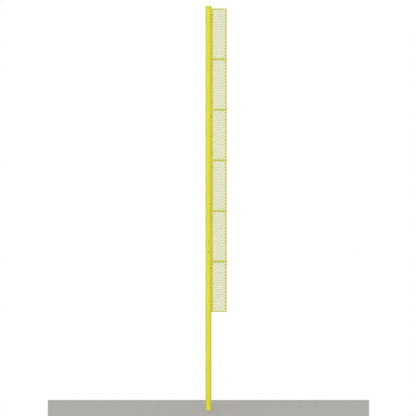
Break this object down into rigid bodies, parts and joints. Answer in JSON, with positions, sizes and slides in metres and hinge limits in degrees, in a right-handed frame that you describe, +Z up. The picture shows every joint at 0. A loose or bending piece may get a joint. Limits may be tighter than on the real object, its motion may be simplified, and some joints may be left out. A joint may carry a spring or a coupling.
{
  "type": "baseball foul pole",
  "caption": "Tall round foul pole in a ground sleeve, with a narrow wing of framed diamond mesh panels down one side.",
  "frame": {"origin": "on the pole's axis at ground level, which is the top rim of the ground sleeve", "axes": "+Z up along the pole; +X from the pole towards the wing's free edge; -Y is the wing's front face"},
  "size_m": [0.6588, 0.222, 13.4112],
  "materials": {
    "pole_yellow": "safety yellow powder coat, semi-gloss",
    "frame_yellow": "safety yellow powder coat, semi-gloss",
    "mesh_yellow": "safety yellow powder coat on expanded steel mesh",
    "galvanised_steel": "hot-dip galvanised, dull spangle",
    "zinc_hardware": "zinc plated, satin"
  },
  "bodies": {
    "ground_socket": {"ground_sleeve": "galvanised_steel", "sleeve_base_plate": "galvanised_steel", "upper_guide_ring": "galvanised_steel", "lower_guide_ring": "galvanised_steel"},
    "pole_and_wing": {"lower_pole": "pole_yellow", "upper_pole": "pole_yellow", "pole_cap": "pole_yellow", "splice_sleeve": "galvanised_steel", "splice_bolts": "pole_yellow", "splice_nuts": "pole_yellow", "splice_saddles": "pole_yellow", "inner_stile_1": "frame_yellow", "inner_stile_2": "frame_yellow", "inner_stile_3": "frame_yellow", "inner_stile_4": "frame_yellow", "inner_stile_5": "frame_yellow", "inner_stile_6": "frame_yellow", "outer_stile_1": "frame_yellow", "outer_stile_2": "frame_yellow", "outer_stile_3": "frame_yellow", "outer_stile_4": "frame_yellow", "outer_stile_5": "frame_yellow", "outer_stile_6": "frame_yellow", "top_rail_1": "frame_yellow", "top_rail_2": "frame_yellow", "top_rail_3": "frame_yellow", "top_rail_4": "frame_yellow", "top_rail_5": "frame_yellow", "top_rail_6": "frame_yellow", "bottom_rail_1": "frame_yellow", "bottom_rail_2": "frame_yellow", "bottom_rail_3": "frame_yellow", "bottom_rail_4": "frame_yellow", "bottom_rail_5": "frame_yellow", "bottom_rail_6": "frame_yellow", "mesh_1": "mesh_yellow", "mesh_2": "mesh_yellow", "mesh_3": "mesh_yellow", "mesh_4": "mesh_yellow", "mesh_5": "mesh_yellow", "mesh_6": "mesh_yellow", "upper_tab_1": "pole_yellow", "upper_tab_2": "pole_yellow", "upper_tab_3": "pole_yellow", "upper_tab_4": "pole_yellow", "upper_tab_5": "pole_yellow", "upper_tab_6": "pole_yellow", "lower_tab_1": "pole_yellow", "lower_tab_2": "pole_yellow", "lower_tab_3": "pole_yellow", "lower_tab_4": "pole_yellow", "lower_tab_5": "pole_yellow", "lower_tab_6": "pole_yellow", "tab_bolts": "zinc_hardware", "tab_nuts": "zinc_hardware", "tab_washers": "zinc_hardware", "panel_bolts": "zinc_hardware", "panel_nuts": "zinc_hardware", "panel_washers": "zinc_hardware"}
  },
  "joints": [
    {"name": "pole_lift", "type": "slide", "parent": "ground_socket", "child": "pole_and_wing", "axis": [0, 0, 1], "range_m": [0, 1.25]}
  ]
}
